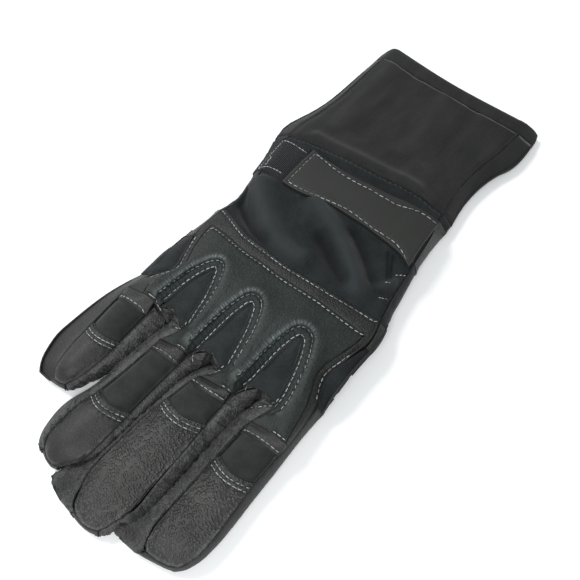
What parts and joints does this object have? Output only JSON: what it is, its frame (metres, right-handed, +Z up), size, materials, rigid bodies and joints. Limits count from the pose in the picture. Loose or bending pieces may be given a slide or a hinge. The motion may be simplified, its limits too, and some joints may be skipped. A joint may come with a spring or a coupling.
{
  "type": "tactical glove",
  "caption": "Tactical work glove for the right hand: leather fingers and padded back, stretch knuckles, strap over the wrist and a long knit cuff.",
  "frame": {"origin": "middle of the glove's box at the surface that it lies on", "axes": "+Z up out of the back of the hand, -Y towards the fingertips, +Y towards the cuff, +X towards the index finger"},
  "size_m": [0.1302, 0.3156, 0.022],
  "materials": {
    "leather": "fine grain, satin",
    "stretch": "brushed, matte",
    "knit": "fine knit, matte",
    "loop": "loop pile in fine ribs, matte",
    "strap": "smooth, matte"
  },
  "bodies": {
    "root": {"fingertip_little": "leather", "fingertip_ring": "leather", "fingertip_middle": "leather", "fingertip_index": "leather", "stretch_little": "stretch", "stretch_ring": "stretch", "stretch_middle": "stretch", "stretch_index": "stretch", "knuckle_little": "leather", "knuckle_ring": "leather", "knuckle_middle": "leather", "knuckle_index": "leather", "back_leather": "leather", "back_pad": "leather", "insert_little_ring": "stretch", "insert_ring_middle": "stretch", "insert_middle_index": "stretch", "side_stretch_little": "stretch", "side_stretch_index": "stretch", "side_tab": "leather", "fourchette_little_ring": "leather", "fourchette_ring_middle": "leather", "fourchette_middle_index": "leather", "palm": "leather", "thumb": "leather", "wrist_back": "stretch", "wrist_front": "stretch", "loop_patch": "loop", "strap_tab": "strap", "strap_anchor": "leather", "cuff_back": "knit", "cuff_front": "knit", "cuff_hem": "knit"}
  },
  "joints": []
}
